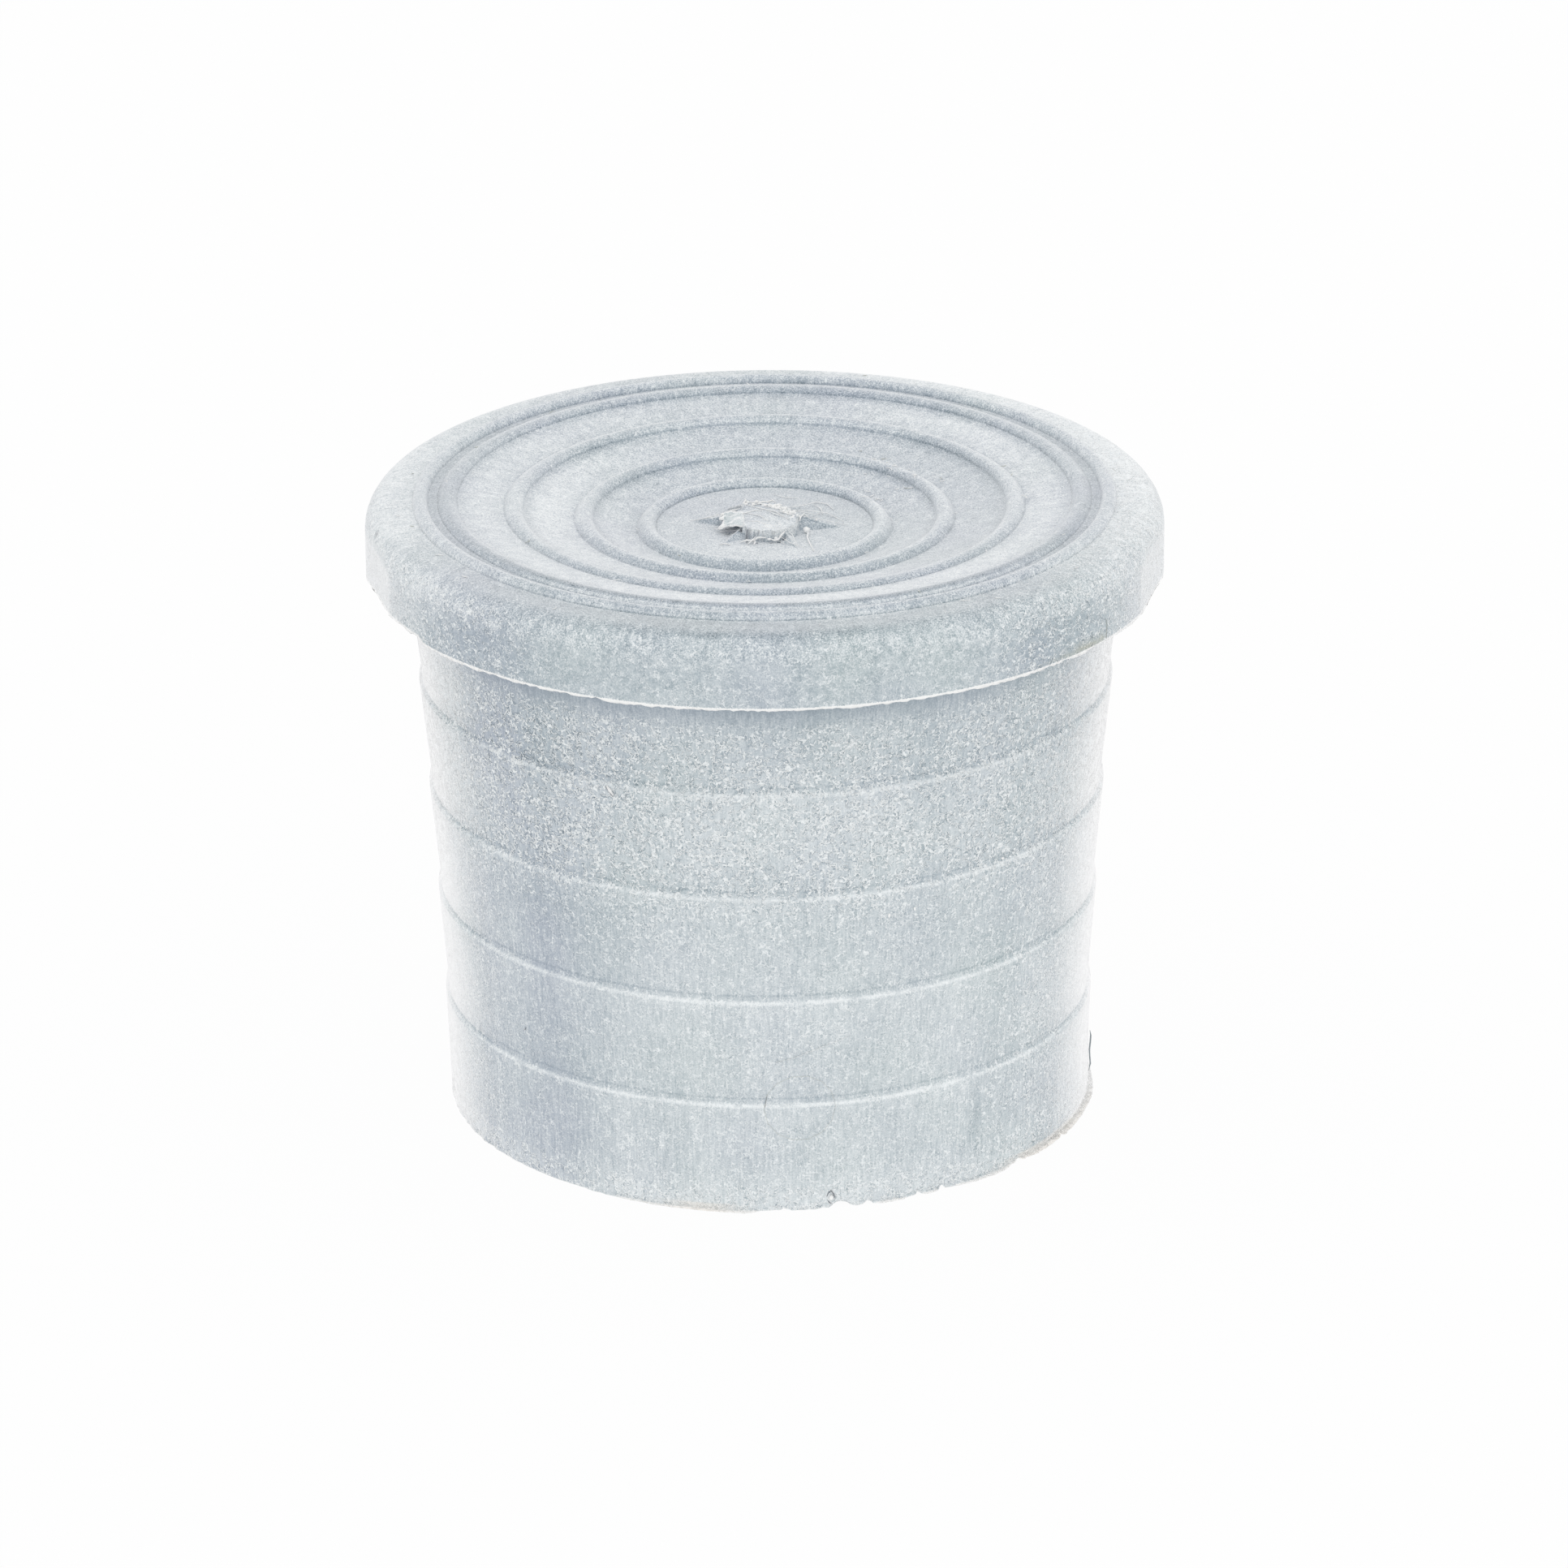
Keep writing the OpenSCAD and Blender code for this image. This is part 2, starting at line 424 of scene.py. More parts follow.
# circle radius, half width and display levels of the painted light and shade, and a light smudge, in
# the dish, by the part of the circle that shows it
DISH_LIGHT_AND_SHADE = {
    "front": ((5.36, 0.22, 6), (5.74, 0.2, 16), (6.2, 0.3, 12), (8.45, 0.24, 10), (9.0, 0.45, 14),
              (11.05, 0.2, -9), (12.2, 0.8, 4), (14.2, 0.2, -16), (14.44, 0.14, 22),
              (15.42, 0.2, -12)),
    "back": ((4.9, 0.3, 10), (7.68, 0.3, 26), (10.79, 0.3, 28)),
    "towards front": ((12.6, 1.4, 8), (9.6, 1.4, -10), (14.25, 0.24, -18)),
    "not at back": ((12.6, 1.6, 12),),
    "left": ((9.6, 1.8, 34), (6.8, 1.4, 9)),
    "back right": ((12.6, 1.4, 8),),
    "smudge": ((11.1, 0.4, 30),),
}
# the groove between the two outer beads, painted with shade
GROOVE_R = 14.72
# half of the short step, towards the back, over which the slope of the gate is taken for its painted
# shade
SLOPE_STEP = (0.018, 0.036)
# bearings of the painted highlights on fine ridges and the painted shade in fine grooves on the wall
# of the head
RIDGE_HIGHLIGHTS = (-158.2, -18.5)
GROOVE_SHADE = (-154.5, -22.2)


def is_plug(r, z):
    return z < PLUG_LEN - 0.02 and r < WALL_R


def head_at(r, bearing, co):
    """1 on the face of the head and its shoulder, 0 on the walls, which take more painted sheen at a
    glancing edge.
    """
    if r < RIM_R:
        return float(co.z > PLUG_LEN)
    share = 0.0
    if co.z > PLUG_LEN - 2 * FLASH_H:
        share = 0.5 * ramp(bearing, -30, -20) + 0.35 * ramp(-bearing, 150, 160)
    return max(ramp(co.z, PLUG_LEN + 1.9, PLUG_LEN + 2.4), share)


def powder_at(r, bearing, co):
    """How thickly curls of talc lie: 0 bare, 1 thick."""
    if co.z < 0.03 or r < 1e-3:
        return 0.1
    patchy = 0.5 + 0.5 * rough(co, 0.35, 11) + 0.4 * rough(co, 0.9, 12)
    if is_plug(r, co.z):
        down = PLUG_LEN - co.z
        amount = ramp(down, 1.0, 2.4) * (1 - 0.5 * ramp(down, 9.4, 10.6))
        amount *= 1 - 0.35 * ramp(down, 10.4, 14)
        amount += 0.4 * ramp(bearing, -62, -30) * ramp(down, 0.3, 1.5)
        amount += 0.35 * ramp(-bearing, 140, 152)
        amount += 0.4 * hump(bearing, -128, 30) * plateau(down, 2, 9, 1.5)
        amount += 0.5 * ramp(1.5 - co.z, 0, 1.0)
        return max(0, amount * (0.7 + 0.35 * patchy))
    if r > HEAD_R - 0.5 and co.z < SHOULDER_Z - 0.3:
        sides = 0.5 * ramp(bearing, -62, -44) + 0.35 * ramp(-bearing, 118, 135)
        return 0.2 + 0.2 * patchy + sides
    if r > RIM_R:
        return 0.2 + 0.2 * patchy + 0.4 * hump(bearing, -5, 70)
    return 0.12 + 0.2 * patchy


def felt_at(r, bearing, co):
    """How strongly the matted grain shows."""
    if co.z < 0.03:
        return 0.4
    if is_plug(r, co.z):
        return 0.12
    if co.z > PLUG_LEN - 2 * FLASH_H and r > RIM_R:
        return 1.0 + 0.4 * ramp(co.z, 26.8, 27.6)
    if r < GATE_R and co.z > FLOOR_Z + 0.3:
        return 1.5
    if any(abs(r - radius) < width / 2 for radius, width, _ in BEADS):
        return 0.9
    return 0.75 if r < FLOOR_R - BEAD_W / 2 else 1.3


def plug_light_and_shade(bearing, z):
    """The plug: darker under the head, as bare rubber and painted shade, painted shade away from the
    front, painted light near the lower end, and patches of painted light and shade.
    """
    down = PLUG_LEN - z
    tone_and_shade = 9 * ramp(2.2 - z, 0, 2.0) - 19 * (1 - ramp(down, 0.3, 1.9))
    tone_and_shade -= 7 * (1 - ramp(down, 4, 6)) + 4 * (1 - ramp(down, 12, 16))
    tone_and_shade -= 18 * ramp(abs(bearing - FRONT), 50, 60)
    for levels, middle, half, start, end in PLUG_LIGHT_AND_SHADE:
        tone_and_shade += levels * hump(bearing, middle, half) * ramp(z, *start) * (1 - ramp(z, *end))
    return tone_and_shade


def rim_light_and_shade(r, bearing, z):
    """Painted light and shade on the wall of the head and its shoulder: highlights on fine ridges,
    shade in fine grooves, and sides lighter or darker by how the light falls.
    """
    upright = 12 * sum(hump(bearing, ridge, 0.9) for ridge in RIDGE_HIGHLIGHTS)
    upright -= 9 * sum(hump(bearing, groove, 0.9) for groove in GROOVE_SHADE) * (1 - ramp(z, 26.8, 27.6))
    upright -= 14 * hump(bearing, -134, 20) + 14 * ramp(abs(bearing - FRONT), 57, 66)
    upright -= 13 * hump(bearing, -40, 22) + 6.5 * hump(bearing, -49, 6)
    tone_and_shade = upright * ramp(r, HEAD_R - 0.8, HEAD_R - 0.1) - 14 + 4 * hump(bearing, -69, 18)
    tone_and_shade += 18 * ramp(bearing, -25, 20) * (1 - ramp(bearing, 75, 100))
    low, top = ramp(z, 27.0, 27.4), ramp(z, 27.9, 28.2) * ramp(r, RIM_R, RIM_R + 0.3)
    aslant = 28 * math.cos(math.radians(bearing)) ** 2 - 10
    tone_and_shade += low * max(0, aslant) + top * min(0, aslant)
    return tone_and_shade + top * (8 * hump(bearing, 58, 36) - 23 * plateau(bearing, -158, -28, 8))


def gate_light_and_shade(r, bearing, co):
    """Painted shade on the sides of the stub and its ribs that face the front, and painted light on
    the stub's top.
    """
    x, y, z = co
    dx, dy = SLOPE_STEP
    slope = (gate_height(x + dx, y + dy) - gate_height(x - dx, y - dy)) / 0.08
    shaded = 20 * ramp(slope, 0.15, 0.6) * (1 - 0.5 * ramp(slope, 1.5, 3))
    shaded *= 1 - 0.8 * hump(bearing, -8, 40) * (1 - ramp(r, 2.0, 2.9))
    tone_and_shade = 8 * ramp(z, FLOOR_Z + 0.42, FLOOR_Z + 0.5) + 9 * hump(bearing, 171, 14) * (r > 1.9)
    if z > FLOOR_Z + 0.02 and y > 1.2:
        tone_and_shade -= 70 * plateau(bearing, 127, 146, 3) * plateau(r, 1.6, 2.6, 0.12)
    return tone_and_shade - shaded * (1 - 0.5 * hump(bearing, -66, 14))


def bead_light_and_shade(r, bearing, ahead):
    """The beads in the dish: lines of painted shade at their feet, and a painted lit face and a
    painted shaded face.
    """
    tone_and_shade = 0
    for radius, width, _ in BEADS[:4]:
        inner, outer = radius - width / 2, radius + width / 2
        tone_and_shade -= 26 * (hump(r, inner, FOOT) + 0.75 * hump(r, outer, FOOT))
        tone_and_shade -= 14 * hump(bearing, 32, 45) * hump(r, inner + 0.03, 0.14)
        if inner - 0.01 < r < outer + 0.01:
            facing = (r - radius) / (width / 2) * ahead
            tone_and_shade += 9 * hump(bearing, 18, 55) * hump(r, radius + 0.05, 0.36)
            if radius > DISH_R:
                near = 0.5 + 0.5 * ahead
                tone_and_shade -= 14 * near * hump(facing, 0, 0.35)
                facing += 0.5 * near
                tone_and_shade += 18 * ramp(facing, 0.85, 1.1)
            dark = 6 if radius < FLOOR_R + 0.1 else 13
            tone_and_shade -= dark * ramp(facing, 0.0, 0.25) - 12 * hump(facing, -0.3, 0.32)
    return tone_and_shade


def dish_light_and_shade(r, bearing):
    """Painted light and shade over the floor and the slope of the dish, with its beads."""
    ahead, across = -math.sin(math.radians(bearing)), math.cos(math.radians(bearing))
    near = 0.5 + 0.5 * ahead
    shares = {"front": ramp(ahead, 0.3, 0.9), "back": ramp(-ahead, 0.7, 0.95),
              "towards front": near, "not at back": 1 - ramp(-ahead, 0.85, 1),
              "left": max(0, -across) ** 2, "back right": hump(bearing, 42, 40),
              "smudge": hump(bearing, -82.2, 1.6)}
    tone_and_shade = bead_light_and_shade(r, bearing, ahead) - 17 + 14 * near * ramp(r, RIM_R - 0.1, RIM_R)
    tone_and_shade -= 8 * (1 - ramp(r, 4.6, 5.0)) * (1 - near) - 13 * max(0, ahead) ** 4 * (r < 4.8)
    tone_and_shade -= 12 * hump(bearing, -78, 62) * plateau(r, 5.6, 7.1, 0.15)
    for part, rings in DISH_LIGHT_AND_SHADE.items():
        tone_and_shade += shares[part] * sum(levels * hump(r, radius, half) for radius, half, levels in rings)
    if r > GROOVE_R - 0.22:
        tone_and_shade -= 28 * hump(r, GROOVE_R, 0.3)
    return tone_and_shade


# display levels in one unit of the layer of tone and painted light and shade
TONE_RANGE = 64.0


def tone_and_shade_at(r, bearing, co):
    """Broad lighter and darker parts of the rubber, about zero: a random tone plus painted light and
    shade.
    """
    tone_and_shade = 5 * rough(co, 0.22, 13) + 4 * rough((co.x, co.y, co.z * 0.15), 0.6, 14)
    if is_plug(r, co.z):
        tone_and_shade += plug_light_and_shade(bearing, co.z)
    elif r > RIM_R:
        tone_and_shade += rim_light_and_shade(r, bearing, co.z)
    else:
        tone_and_shade += dish_light_and_shade(r, bearing)
        if r < GATE_R:
            tone_and_shade += gate_light_and_shade(r, bearing, co)
    return tone_and_shade / TONE_RANGE


def tint_at(r, bearing, co):
    """From a green-grey at 0 to a violet-grey at 1; the painted shade at the left of the plug, under
    the head and at the left of the wall is painted more violet.
    """
    tint = 0.35 + 0.5 * rough(co, 0.3, 15)
    if is_plug(r, co.z):
        tint += 0.6 * hump(bearing, -137, 26) + 0.3 * (1 - ramp(PLUG_LEN - co.z, 0.5, 2.5))
    elif r < RIM_R:
        tint += 0.35
    else:
        tint += 0.4 * hump(bearing, -135, 20)
    return min(max(tint, 0), 1)


def torn_at(r, bearing, co):
    """Freshly torn, pale edges."""
    if r > WALL_R and co.z < PLUG_LEN + 0.4:
        return 1 - ramp(co.z - flash_rise(bearing), PLUG_LEN + 0.02, PLUG_LEN + 0.14)
    if co.z < 0.3 and r > PLUG_BOTTOM_R:
        return ramp(r, PLUG_BOTTOM_R + 0.08, PLUG_BOTTOM_R + 0.2)
    if RIB_START < r < GATE_R and co.z > FLOOR_Z + 0.02:
        aside = min(abs(math.radians((bearing - rib[0] + 180) % 360 - 180)) * r for rib in RIBS)
        return 0.5 * (1 - ramp(aside, 0.02, 0.08))
    return 0


def soil_at(r, bearing, co):
    """Brown-green soil at the edge of the head and a brown smudge at the lower edge."""
    if r > WALL_R and co.z < 25.6:
        side = ramp(bearing, -52, -36) * (1 - ramp(bearing, -34.5, -33))
        patchy = 0.7 + 0.6 * rough((bearing * 0.5, co.z * 3, 0), 1, 41)
        return 0.55 * hump(co.z, 25.2, 0.12 + 0.2 * side) * side * patchy
    if co.z < 0.3 and r > PLUG_BOTTOM_R - 0.1:
        return 0.6 * hump(bearing, -22.5, 4) * hump(r, PLUG_BOTTOM_R + 0.04, 0.12)
    return 0


def warm_at(r, bearing, co):
    """A faint orange tinge of the thin flash on the table at the right, and at the front a painted
    warm line standing in for the edge of the contact shade.
    """
    if co.z > 0.35 or r < PLUG_BOTTOM_R + 0.02:
        return 0
    right = ramp(bearing, -48, -36) * (1 - ramp(bearing, -3, 6))
    return 0.42 * right + 0.4 * hump(bearing, -102, 10)


def hollow_at(r, bearing, co):
    """Painted shade in the crevices round the gate and in the small pits in the head."""
    if r < GATE_R and co.z > FLOOR_Z - 0.5:
        return 0.75 * crevice_at(co.x, co.y)
    pits = (1 - ramp(apart, 0.5, 1.4) for apart, _ in near_hollows(r, bearing, co.z))
    return 0.7 * max(pits, default=0)


PAINT = {"powder": powder_at, "felt": felt_at, "tone_and_shade": tone_and_shade_at, "tint": tint_at,
         "torn": torn_at, "soil": soil_at, "hollow": hollow_at, "head": head_at,
         "warm": warm_at}
LAYERS = (*PAINT, "edge_wear_and_crease_shade")


def paint_finish(bm, layers):
    for v in bm.verts:
        r, bearing = polar(v.co)
        for name, value_at in PAINT.items():
            v[layers[name]] = value_at(r, bearing, v.co)


def paint_edge_wear_and_crease_shade(bm, layers):
    """Edges that stand out count up and creases count down, in shares of a small bend; the edges are
    painted lighter as wear and the creases darker as painted shade.
    """
    bm.normal_update()
    edge_wear_and_crease_shade = {}
    for v in bm.verts:
        bend = 0
        for edge in v.link_edges:
            arm = edge.other_vert(v).co - v.co
            if arm.length > 1e-6:
                bend -= arm.normalized().dot(v.normal)
        edge_wear_and_crease_shade[v] = bend / max(1, len(v.link_edges))
    for v in bm.verts:
        near = [edge_wear_and_crease_shade[e.other_vert(v)] for e in v.link_edges]
        value = 0.6 * edge_wear_and_crease_shade[v] + 0.4 * sum(near) / max(1, len(near))
        share = 0.35 if v.co.z < 0.4 else 1
        v[layers["edge_wear_and_crease_shade"]] = share * min(max(value * 2.5, -1), 1)


# ---------------------------------------------------------------- loose shreds and crumbs
# x, y and height over the floor along each shred of the gate, then its width and thickness
GATE_SHREDS = (
    (((-2.25, -0.72, 0.08), (-1.98, -0.98, 0.16), (-1.6, -1.12, 0.3), (-1.2, -1.2, 0.42)),
     0.1, 0.06),
    (((-1.05, -2.38, 0.05), (-0.8, -2.34, 0.14), (-0.5, -2.32, 0.1), (-0.3, -2.28, 0.24),
      (0.05, -2.3, 0.24)), 0.13, 0.1),
    (((-0.75, -2.62, 0.05), (-0.58, -2.44, 0.16), (-0.4, -2.3, 0.28)), 0.1, 0.07),
    (((-0.5, -2.66, 0.04), (-0.42, -2.5, 0.1), (-0.46, -2.36, 0.16)), 0.09, 0.07),
    (((0.2, -2.28, 0.2), (0.42, -2.34, 0.12), (0.6, -2.3, 0.14), (0.76, -2.16, 0.34),
      (0.9, -2.06, 0.44)), 0.14, 0.1),
    (((0.62, -2.3, 0.08), (0.9, -2.56, 0.03)), 0.07, 0.05),
    (((1.85, -1.13, 0.14), (1.92, -1.4, 0.12), (1.88, -1.9, 0.1), (2.0, -2.6, 0.06),
      (2.17, -3.5, 0.04)), 0.08, 0.06),
    (((-2.0, -2.62, 0.04), (-1.75, -2.54, 0.08), (-1.5, -2.64, 0.04)), 0.1, 0.06),
    (((1.1, 0.8, 0.5), (1.7, 1.8, 0.24), (2.3, 2.7, 0.06), (2.8, 2.5, 0.04), (3.1, 1.7, 0.03)),
     0.06, 0.04),
    (((1.3, 0.5, 0.5), (2.0, 0.95, 0.3), (2.8, 1.15, 0.1), (3.5, 0.3, 0.03)), 0.06, 0.04),
    (((1.2, 0.9, 0.3), (1.6, 1.1, 0.2), (2.2, 1.0, 0.1), (2.5, 1.3, 0.04)), 0.06, 0.04),
    (((2.2, 2.4, 0.05), (2.5, 1.9, 0.06), (2.6, 1.2, 0.03)), 0.06, 0.04),
    (((2.1, -0.05, 0.36), (2.9, -0.1, 0.18), (3.7, -0.2, 0.04)), 0.05, 0.04),
    (((-3.3, 0.5, 0.03), (-2.5, 0.42, 0.22), (-1.95, 0.5, 0.34), (-1.3, 0.75, 0.5)), 0.05, 0.04),
    (((0.3, 3.9, 0.03), (0.9, 3.4, 0.04), (1.5, 3.3, 0.03)), 0.05, 0.04),
    (((-0.9, 1.0, 0.6), (-0.2, 0.5, 0.6), (0.5, 0.1, 0.58), (1.1, -0.9, 0.56)), 0.05, 0.05),
    (((-0.9, 0.0, 0.56), (-0.2, -0.4, 0.58), (0.2, -1.1, 0.54)), 0.05, 0.05),
    (((0.1, 0.2, 0.6), (0.5, -0.3, 0.6), (0.8, -0.5, 0.58)), 0.06, 0.05),
    (((-0.62, 1.2, 0.6), (-0.42, 1.1, 0.66), (-0.3, 1.22, 0.6), (-0.05, 1.14, 0.66),
      (0.15, 1.3, 0.6), (0.36, 1.34, 0.66), (0.5, 1.3, 0.58)), 0.11, 0.09),
    (((-0.5, 0.9, 0.6), (-0.2, 1.0, 0.64), (0.1, 0.86, 0.62), (0.3, 1.0, 0.6)), 0.08, 0.06),
    (((0.0, 0.75, 0.6), (0.35, 0.62, 0.6), (0.75, 0.3, 0.6)), 0.07, 0.06),
    (((-0.86, 0.9, 0.58), (-0.92, 1.1, 0.66), (-0.84, 1.24, 0.72), (-0.88, 1.3, 0.78)), 0.1, 0.08),
    (((-1.25, -0.25, 0.56), (-0.8, 0.0, 0.58), (-0.45, 0.3, 0.58), (-0.1, 0.3, 0.58)), 0.06, 0.05),
    (((-0.75, -0.9, 0.52), (-0.3, -1.0, 0.53), (0.1, -1.35, 0.5), (0.6, -1.5, 0.49)), 0.05, 0.05),
    (((-0.3, -1.5, 0.5), (0.2, -1.7, 0.49), (0.7, -1.75, 0.49)), 0.05, 0.05),
    (((0.6, 0.1, 0.6), (1.0, -0.2, 0.6), (1.3, -0.5, 0.6)), 0.07, 0.06),
    (((1.55, -0.9, 0.5), (1.6, -0.5, 0.54), (1.74, -0.05, 0.52), (2.0, -0.2, 0.38)), 0.08, 0.07),
    (((-2.0, -0.2, 0.4), (-1.9, 0.0, 0.52), (-1.5, 0.2, 0.58), (-1.1, 0.5, 0.6)), 0.09, 0.07),
    (((1.0, -1.9, 0.5), (1.25, -2.4, 0.36), (1.5, -3.05, 0.06)), 0.04, 0.04),
    (((0.62, -2.2, 0.3), (1.1, -2.6, 0.12), (1.8, -3.1, 0.04)), 0.04, 0.04),
)
# a dark thread painted as the shadow in the gap under the torn sheet
GATE_GAP_SHADOW = ((-1.99, -1.16, 0.13), (-1.7, -1.33, 0.17), (-1.35, -1.45, 0.24), (-1.05, -1.58, 0.3))
# corners of the torn sheet that hangs over from the left of the stub
FLAP = ((-2.02, -1.05, 0.26), (-0.9, -1.55, 0.5), (-0.9, 0.2, 0.56), (-1.95, 0.05, 0.5))
# x, y, height over the floor, and three sizes of each larger crumb
GATE_CRUMBS = ((1.85, -1.1, 0.14, 0.34, 0.26, 0.3), (2.29, -0.34, 0.34, 0.12, 0.12, 0.13),
               (0.2, -2.3, 0.16, 0.2, 0.12, 0.14), (0.5, -2.28, 0.2, 0.18, 0.14, 0.18))
# the line along the back of the stub that small crumbs gather on, and their number
STUB_BACK = ((-0.9, 1.2), (-0.2, 1.14), (0.4, 0.95), (0.75, 0.7), (1.1, 0.2), (1.45, -0.4))
BACK_CRUMBS = 60

DARK = {"torn": 0.0, "hollow": 0.8}
FAINT = {"torn": 0.0, "soil": 0.3, "hollow": 0.3}
# for each nick or scratch: height over the surface, bearing and height of its points, width,
# thickness and paint
SIDE_MARKS = (
    (0.0, ((-33.5, 26.05), (-33.2, 25.7), (-33.35, 25.3), (-33.2, 25.05)), 0.08, 0.04, FAINT),
    (0.0, ((-137.9, 6.72), (-137.4, 6.78), (-137.2, 6.9)), 0.08, 0.04, DARK),
    (0.0, ((-37.1, 25.08), (-36.8, 25.2)), 0.09, 0.04, DARK),
    (0.0, ((-80.0, 0.46), (-79.7, 0.72), (-79.2, 0.82), (-78.7, 0.66), (-78.5, 0.4)), 0.1, 0.08,
     DARK),
    (0.0, ((-80.0, 0.46), (-79.5, 0.26), (-79.0, 0.16)), 0.08, 0.08, DARK),
    (0.02, ((-88.8, 7.2), (-85.5, 7.42), (-81, 7.85), (-76, 8.3)), 0.09, 0.04, {"torn": 0.5}),
    (0.02, ((-104.7, 0.5), (-104.5, 0.8), (-104.9, 1.1)), 0.07, 0.04, DARK),
    (0.07, ((-116.4, 20.05), (-115.8, 19.86), (-115.2, 19.64)), 0.19, 0.14, {}),
    # a thin dark thread painted as the shadow under the white fleck above it
    (0.03, ((-116.6, 19.96), (-116.0, 19.76), (-115.4, 19.54)), 0.08, 0.06, DARK),
)
# a faint oval scratch: bearing, half width, height, half height and number of points
OVAL = (-84.6, 6.2, 4.95, 1.55, 15)
# a sliver of flash up the right of the plug: bearing, then height and distance from the side
SLIVER_BEARING = -3.6
SLIVER = ((0.6, 0.12), (0.95, 0.17), (1.3, 0.13), (1.65, 0.1), (2.0, 0.12), (2.35, 0.13),
          (2.6, 0.08))
# bearing, height and three sizes of each fleck on the plug
FLECKS = ((-69.4, 13.92, 0.1, 0.1, 0.22), (-64.8, 14.04, 0.1, 0.1, 0.18),
          (-79.2, 0.5, 0.26, 0.2, 0.26), (-35.1, 23.76, 0.12, 0.12, 0.16),
          (-46.7, 15.26, 0.16, 0.12, 0.12))

# fibres of dust on the head, how many of them lie right of the gate, and where the others lie
LINT = 70
LINT_RIGHT = 30
LINT_CIRCLES = (5.6, 8.4, 11.5, 14.3, 15.9, 16.4)


def on_side(bearing, z, r):
    a = math.radians(bearing)
    return Vector((r * math.cos(a), r * math.sin(a), z))


def add_thread(bm, layers, points, width, thickness, **paint):
    """A closed strip of rubber along a few points."""
    ring = bmesh.ops.create_circle(bm, cap_ends=True, segments=4, radius=width)["verts"]
    face = next(f for f in ring[0].link_faces if len(f.verts) == 4)
    everything = list(ring)
    for number, point in enumerate(points):
        if number:
            made = bmesh.ops.extrude_face_region(bm, geom=[face])["geom"]
            if number > 1 and face.is_valid:
                bmesh.ops.delete(bm, geom=[face], context="FACES_ONLY")
            face = next(g for g in made if isinstance(g, bmesh.types.BMFace))
            everything += [g for g in made if isinstance(g, bmesh.types.BMVert)]
        start = Vector(points[max(number - 1, 0)])
        end = Vector(points[min(number + 1, len(points) - 1)])
        ahead = (end - start).normalized()
        across = ahead.cross(Vector((0.1, 0.2, 1))).normalized()
        lift = across.cross(ahead)
        share = 0.45 if number in (0, len(points) - 1) else 1
        offsets = (across * width / 2, lift * thickness / 2, -across * width / 2,
                   -lift * thickness / 2)
        for v, offset in zip(face.verts, offsets):
            v.co = Vector(point) + offset * share
    paint_bits(everything, layers, **paint)


def paint_bits(verts, layers, torn=1.0, powder=0.2, soil=0.0, hollow=0.0, tone_and_shade=0.0):
    for v in verts:
        for name, value in (("torn", torn), ("powder", powder), ("soil", soil),
                            ("hollow", hollow), ("tone_and_shade", tone_and_shade)):
            v[layers[name]] = value


def add_crumb(bm, layers, place, size, seed=0, **paint):
    """A small irregular lump."""
    verts = bmesh.ops.create_icosphere(bm, subdivisions=1, radius=0.5,
                                       matrix=Matrix.Translation(place))["verts"]
    for v in verts:
        arm = v.co - Vector(place)
        swell = 1 + 0.5 * rough(arm, 3.0, 20 + seed)
        v.co = Vector(place) + Vector((arm.x * size[0], arm.y * size[1], arm.z * size[2])) * swell
    paint_bits(verts, layers, **paint)


def add_flap(bm, layers):
    """The torn sheet that hangs over from the left of the gate stub."""
    made = bmesh.ops.create_grid(bm, x_segments=10, y_segments=10, size=0.5)
    corners = [Vector(c) for c in FLAP]
    for v in made["verts"]:
        s, t = v.co.x + 0.5, v.co.y + 0.5
        place = corners[0].lerp(corners[1], s).lerp(corners[3].lerp(corners[2], s), t)
        crumple = rough((place.x, place.y, 0), 3.4, 31) + 0.6 * rough((place.x, place.y, 0), 8, 33)
        place.z += 0.08 * math.sin(math.pi * s) + 0.11 * crumple * (1 - 0.6 * s)
        place.x += 0.25 * (1 - s) * rough((0, t * 3, 0), 2, 32)
        place.y += 0.12 * (1 - t) * rough((s * 3, 0, 0), 2, 34)
        v.co = place + Vector((0, 0, FLOOR_Z))
    faces = list({f for v in made["verts"] for f in v.link_faces})
    solid = bmesh.ops.solidify(bm, geom=faces, thickness=0.06)["geom"]
    verts = {g for g in list(solid) + made["verts"] if isinstance(g, bmesh.types.BMVert)}
    for v in verts:
        edge = max(ramp(-v.co.x, 1.7, 1.9), 0.8 * ramp(-v.co.y - 0.4 * (v.co.x + 1.9), 0.98, 1.1))
        paint_bits([v], layers, torn=0.1 + 0.9 * edge + 0.3 * max(0, rough(v.co, 6, 35)))


def floor_path(*places):
    return [(x, y, FLOOR_Z + z) for x, y, z in places]


def side_path(lift, *places):
    """Points on the plug's side or the head's wall, given by bearing and height."""
    return [on_side(b, z, (side_r(z) if z < PLUG_LEN else HEAD_R) + lift) for b, z in places]


